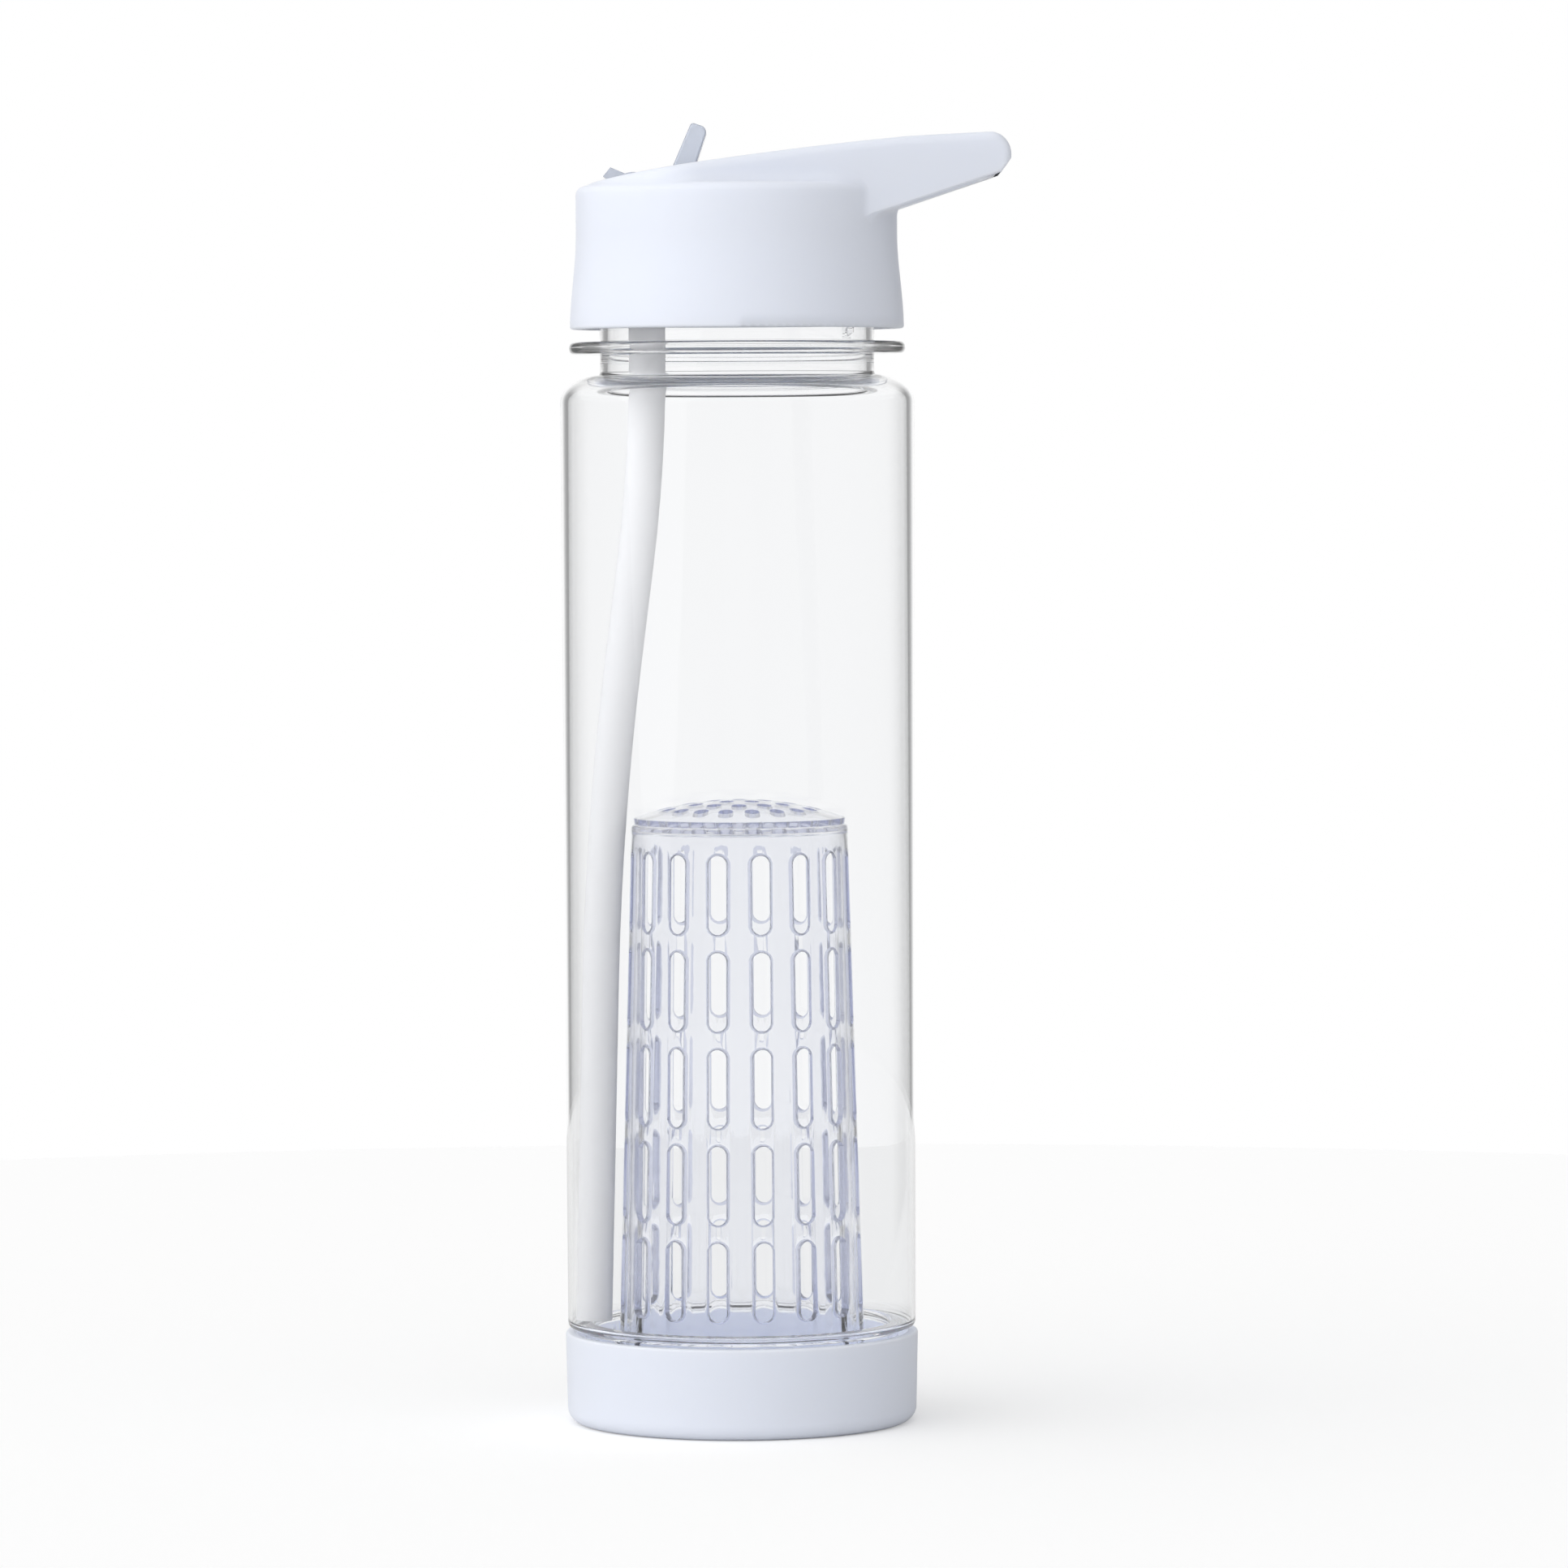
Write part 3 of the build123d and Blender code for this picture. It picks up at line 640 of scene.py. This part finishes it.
def moulded_material(name, colours, roughness, bump, cloud=22.0, grain=1400.0, stretch=0.4):
    """A Principled material that follows the moulded finish; bump is (strength, metres, marks)."""
    material = bpy.data.materials.new(name)
    material.use_nodes = True
    nodes, links = material.node_tree.nodes, material.node_tree.links
    shader = nodes["Principled BSDF"]
    finish = nodes.new("ShaderNodeGroup")
    finish.node_tree = FINISH
    finish.inputs["Cloud Scale"].default_value = cloud
    finish.inputs["Grain Scale"].default_value = grain
    finish.inputs["Stretch"].default_value = stretch
    pale, deep = ((*colour, 1) for colour in colours)
    links.new(mix_colours(nodes, links, finish.outputs["Cloud"], pale, deep), shader.inputs["Base Color"])
    gloss = range_of_noise(nodes, links, finish.outputs["Grain"], *roughness)
    links.new(gloss, shader.inputs["Roughness"])
    strength, distance, marks = bump
    raised = nodes.new("ShaderNodeBump")
    raised.inputs["Strength"].default_value = strength
    raised.inputs["Distance"].default_value = distance
    links.new(finish.outputs[marks], raised.inputs["Height"])
    links.new(raised.outputs["Normal"], shader.inputs["Normal"])
    return material, shader


def make_clear(material, shader, share, bending, shadow):
    """Let light through: a share of it, bent by an index, and lamp light tinted as in a pale shadow."""
    shader.inputs["Transmission Weight"].default_value = share
    shader.inputs["IOR"].default_value = bending
    nodes, links = material.node_tree.nodes, material.node_tree.links
    path = nodes.new("ShaderNodeLightPath")
    clear = nodes.new("ShaderNodeBsdfTransparent")
    clear.inputs["Color"].default_value = (*shadow, 1)
    mix = nodes.new("ShaderNodeMixShader")
    links.new(path.outputs["Is Shadow Ray"], mix.inputs["Fac"])
    links.new(shader.outputs["BSDF"], mix.inputs[1])
    links.new(clear.outputs["BSDF"], mix.inputs[2])
    links.new(mix.outputs["Shader"], nodes["Material Output"].inputs["Surface"])
    return material


def paint_edge_shade(material, shader, tone):
    """Paint shade into a translucent piece's colour where its surface turns away from the eye."""
    nodes, links = material.node_tree.nodes, material.node_tree.links
    colour = shader.inputs["Base Color"]
    facing = nodes.new("ShaderNodeLayerWeight")
    facing.inputs["Blend"].default_value = PAINTED_SHADE_BLEND
    plain = colour.links[0].from_socket
    # Painted shade: the colour darkens where the surface faces away
    links.new(mix_colours(nodes, links, facing.outputs["Facing"], plain, tone), colour)


def white_plastic(name="white_moulding"):
    """Satin white moulding with a cool tint."""
    material, shader = moulded_material(
        name,
        colours=((0.805, 0.838, 0.93), (0.79, 0.824, 0.915)),
        roughness=(0.36, 0.46),
        bump=(0.06, FINE_BUMP, "Grain"),
    )
    shader.inputs["Specular IOR Level"].default_value = 0.45
    shader.inputs["Subsurface Weight"].default_value = 0.5
    shader.inputs["Subsurface Radius"].default_value = (1.0, 1.0, 1.0)
    shader.inputs["Subsurface Scale"].default_value = 0.002
    return material


def cup_plastic_with_painted_glow():
    """The same white moulding, with painted light: a glow painted on its inside in place of the light that
    comes through its thin wall.
    """
    material = white_plastic("white_cup_painted_glow")
    nodes, links = material.node_tree.nodes, material.node_tree.links
    place = nodes.new("ShaderNodeTexCoord")
    split = nodes.new("ShaderNodeSeparateXYZ")
    links.new(place.outputs["Object"], split.inputs["Vector"])
    reach = [calculate(nodes, links, "MULTIPLY", split.outputs[axis], split.outputs[axis]) for axis in "XY"]
    radius = calculate(nodes, links, "SQRT", calculate(nodes, links, "ADD", *reach))
    within = calculate(nodes, links, "LESS_THAN", radius, CUP_INSIDE_R * MM)
    above = calculate(nodes, links, "GREATER_THAN", split.outputs["Z"], CUP_FLOOR_Z * MM)
    inside = calculate(nodes, links, "MULTIPLY", within, above)
    # Painted light: a pale glow painted on the cup's inside and nowhere else
    glow = mix_colours(nodes, links, inside, (*BLACK, 1), (*CUP_PAINTED_GLOW_COLOUR, 1))
    shader = nodes["Principled BSDF"]
    links.new(glow, shader.inputs["Emission Color"])
    shader.inputs["Emission Strength"].default_value = CUP_PAINTED_GLOW
    return material


def clear_plastic():
    """Clear bottle wall with faint flow waves."""
    material, shader = moulded_material(
        "clear_moulding",
        colours=((0.985, 0.988, 0.992), (0.975, 0.98, 0.986)),
        roughness=(0.0, 0.015),
        bump=(0.02, WAVE_BUMP, "Cloud"),
        cloud=55.0,
        stretch=0.25,
    )
    return make_clear(material, shader, share=1, bending=1.5, shadow=(0.93, 0.94, 0.95))


def basket_plastic():
    """Clear basket wall with a lilac cast."""
    material, shader = moulded_material(
        "basket_moulding",
        colours=((0.965, 0.97, 0.988), (0.95, 0.957, 0.98)),
        roughness=(0.01, 0.05),
        bump=(0.08, WAVE_BUMP, "Cloud"),
        cloud=120.0,
        stretch=0.6,
    )
    return make_clear(material, shader, share=1, bending=1.5, shadow=(0.9, 0.91, 0.95))


def slot_plastic_painted_shade():
    """The slots' walls: frosted, and darker than the polished faces through a painted lilac shade."""
    # Painted shade: the slot walls' darker lilac colour stands in for shade in the slots
    material, shader = moulded_material(
        "slot_walls_painted_shade",
        colours=((0.66, 0.69, 0.85), (0.62, 0.65, 0.82)),
        roughness=(0.15, 0.25),
        bump=(0.1, FINE_BUMP, "Grain"),
    )
    return make_clear(material, shader, share=0.8, bending=1.45, shadow=(0.8, 0.82, 0.88))


def spout_plastic():
    """Translucent mouthpiece, with painted shade at its edges."""
    material, shader = moulded_material(
        "spout_moulding",
        colours=((0.74, 0.78, 0.86), (0.71, 0.75, 0.84)),
        roughness=(0.12, 0.2),
        bump=(0.05, FINE_BUMP, "Grain"),
    )
    paint_edge_shade(material, shader, SPOUT_EDGE_PAINTED_SHADE)
    return make_clear(material, shader, share=0.45, bending=1.5, shadow=(0.7, 0.73, 0.76))


def straw_plastic():
    """Thin milky tube."""
    material, shader = moulded_material(
        "straw_tube",
        colours=((0.965, 0.965, 0.98), (0.95, 0.95, 0.968)),
        roughness=(0.35, 0.45),
        bump=(0.04, FINE_BUMP, "Grain"),
    )
    return make_clear(material, shader, share=0.15, bending=1.3, shadow=(0.6, 0.6, 0.61))


def silicone():
    """Soft matt rings and valve."""
    material, shader = moulded_material(
        "soft_silicone",
        colours=((0.8, 0.8, 0.82), (0.76, 0.76, 0.78)),
        roughness=(0.6, 0.75),
        bump=(0.1, FINE_BUMP, "Grain"),
    )
    shader.inputs["Subsurface Weight"].default_value = 0.2
    shader.inputs["Subsurface Scale"].default_value = 0.001
    return material


# Studio


def make_floor():
    """Pale round floor that shows as white and keeps the shadow."""
    floor = start_primitive(
        bpy.ops.mesh.primitive_circle_add, vertices=FLOOR_STEPS, radius=FLOOR_R, fill_type="NGON"
    )
    floor = finish_shape(floor, "floor")
    material = bpy.data.materials.new("pale_floor")
    material.use_nodes = True
    nodes, links = material.node_tree.nodes, material.node_tree.links
    nodes.remove(nodes["Principled BSDF"])
    path = nodes.new("ShaderNodeLightPath")
    through = path.outputs["Is Transmission Ray"]
    matt = nodes.new("ShaderNodeBsdfDiffuse")
    tone = mix_values(nodes, links, through, FLOOR_TONE, FLOOR_TONE / (1 + INSIDE_GAIN))
    links.new(tone, matt.inputs["Color"])
    glow = nodes.new("ShaderNodeEmission")
    glow.inputs["Color"].default_value = WHITE
    seen = calculate(nodes, links, "MAXIMUM", path.outputs["Is Camera Ray"], through)
    links.new(calculate(nodes, links, "MULTIPLY", seen, FLOOR_GLOW), glow.inputs["Strength"])
    both = nodes.new("ShaderNodeAddShader")
    links.new(matt.outputs["BSDF"], both.inputs[0])
    links.new(glow.outputs["Emission"], both.inputs[1])
    links.new(both.outputs["Shader"], nodes["Material Output"].inputs["Surface"])
    dress(floor, material)


def ambient_level(nodes, links, direction):
    """Ambient light that is strongest from the front left and from above."""
    towards = nodes.new("ShaderNodeVectorMath")
    towards.operation = "DOT_PRODUCT"
    plug(links, towards.inputs, (direction, AMBIENT_LEAN))
    return calculate(nodes, links, "ADD", towards.outputs["Value"], AMBIENT)


def flag_level(nodes, links, direction):
    """What reflections see: a bright backdrop, dark flags on both sides of it, and a pale room."""
    split = nodes.new("ShaderNodeSeparateXYZ")
    links.new(direction, split.inputs["Vector"])
    depth_share = calculate(nodes, links, "MULTIPLY_ADD", split.outputs["Y"], 0.5, 0.5)
    ramp = nodes.new("ShaderNodeValToRGB")
    links.new(depth_share, ramp.inputs["Fac"])
    marks = ramp.color_ramp.elements
    while len(marks) < len(FLAGS):
        marks.new(0.5)
    for mark, (depth, level) in zip(marks, FLAGS):
        mark.position = (depth + 1) / 2
        mark.color = (level, level, level, 1)
    rise = calculate(nodes, links, "ABSOLUTE", split.outputs["Z"])
    steep = nodes.new("ShaderNodeMapRange")
    steep.interpolation_type = "SMOOTHSTEP"
    plug(links, [steep.inputs["Value"], steep.inputs["From Min"], steep.inputs["From Max"]], (rise, *STEEP))
    return mix_values(nodes, links, steep.outputs["Result"], ramp.outputs["Color"], STEEP_LEVEL)


def make_world():
    """White backdrop; each kind of ray sees the surroundings that light or shape the object."""
    world = bpy.data.worlds.new("studio")
    bpy.context.scene.world = world
    world.use_nodes = True
    nodes, links = world.node_tree.nodes, world.node_tree.links
    background = nodes["Background"]
    background.inputs["Color"].default_value = WHITE
    ray = nodes.new("ShaderNodeLightPath").outputs
    direction = nodes.new("ShaderNodeTexCoord").outputs["Generated"]

    # Clear pieces see the plain backdrop straight through, and the flags once light has bounced
    bounced = calculate(nodes, links, "MINIMUM", ray["Glossy Depth"], 1)
    clear_view = mix_values(nodes, links, bounced, 1, flag_level(nodes, links, direction))

    # Scattered light is ambient, and stronger where it came through a clear wall
    scattered = calculate(nodes, links, "MINIMUM", ray["Diffuse Depth"], 1)
    through = calculate(nodes, links, "MINIMUM", ray["Transmission Depth"], 1)
    inside = calculate(nodes, links, "MULTIPLY", through, scattered)
    gain = calculate(nodes, links, "MULTIPLY_ADD", inside, INSIDE_GAIN, 1)
    ambient = calculate(nodes, links, "MULTIPLY", ambient_level(nodes, links, direction), gain)

    sharp = calculate(nodes, links, "MAXIMUM", ray["Is Glossy Ray"], ray["Is Transmission Ray"])
    direct = calculate(nodes, links, "SUBTRACT", 1, scattered)
    sharp = calculate(nodes, links, "MULTIPLY", sharp, direct)
    level = mix_values(nodes, links, sharp, ambient, clear_view)
    level = mix_values(nodes, links, ray["Is Camera Ray"], level, 1)
    links.new(level, background.inputs["Strength"])


def make_key_lamp():
    """One large soft lamp far away, at the front left and above, which clear walls don't show."""
    lamp = bpy.data.lights.new("key", "SUN")
    lamp.energy = KEY_ENERGY
    lamp.angle = KEY_SIZE
    holder = bpy.data.objects.new("key", lamp)
    bpy.context.collection.objects.link(holder)
    holder.rotation_euler = Vector(KEY_DIRECTION).to_track_quat("-Z", "Y").to_euler()
    holder.visible_transmission = False


def make_camera():
    """Camera at the photograph's distance, height and width of view."""
    camera = bpy.data.cameras.new("camera")
    camera.sensor_width = SENSOR_WIDTH
    camera.sensor_fit = "AUTO"
    holder = bpy.data.objects.new("camera", camera)
    bpy.context.collection.objects.link(holder)
    holder.location = (AIM.x, -CAMERA_DISTANCE, CAMERA_HEIGHT)
    look = AIM - holder.location
    camera.lens = camera.sensor_width * look.length / VIEW_WIDTH
    camera.clip_start = NEAREST
    camera.clip_end = FARTHEST
    turn = look.to_track_quat("-Z", "Y")
    holder.rotation_euler = (turn @ Quaternion((0, 0, 1), CAMERA_ROLL)).to_euler()
    bpy.context.scene.camera = holder


# The whole scene


make_camera()
make_world()
make_key_lamp()
make_floor()

dress(make_bottle(), clear_plastic())
make_basket(basket_plastic(), slot_plastic_painted_shade())
dress(make_lid(), white_plastic())

nodes = frame["nodes"]
dress(nodes["base_cup"], cup_plastic_with_painted_glow())
dress(nodes["flip_spout"], spout_plastic())
dress(nodes["straw"], straw_plastic())
soft = silicone()
for name in ("lid_gasket", "base_gasket", "spout_seal", "vent_valve"):
    dress(nodes[name], soft)

scene = bpy.context.scene
scene.view_settings.view_transform = "Standard"
scene.cycles.max_bounces = CLEAR_BOUNCES
scene.cycles.transmission_bounces = CLEAR_BOUNCES
scene.cycles.transparent_max_bounces = CLEAR_BOUNCES
scene.cycles.glossy_bounces = GLOSSY_BOUNCES
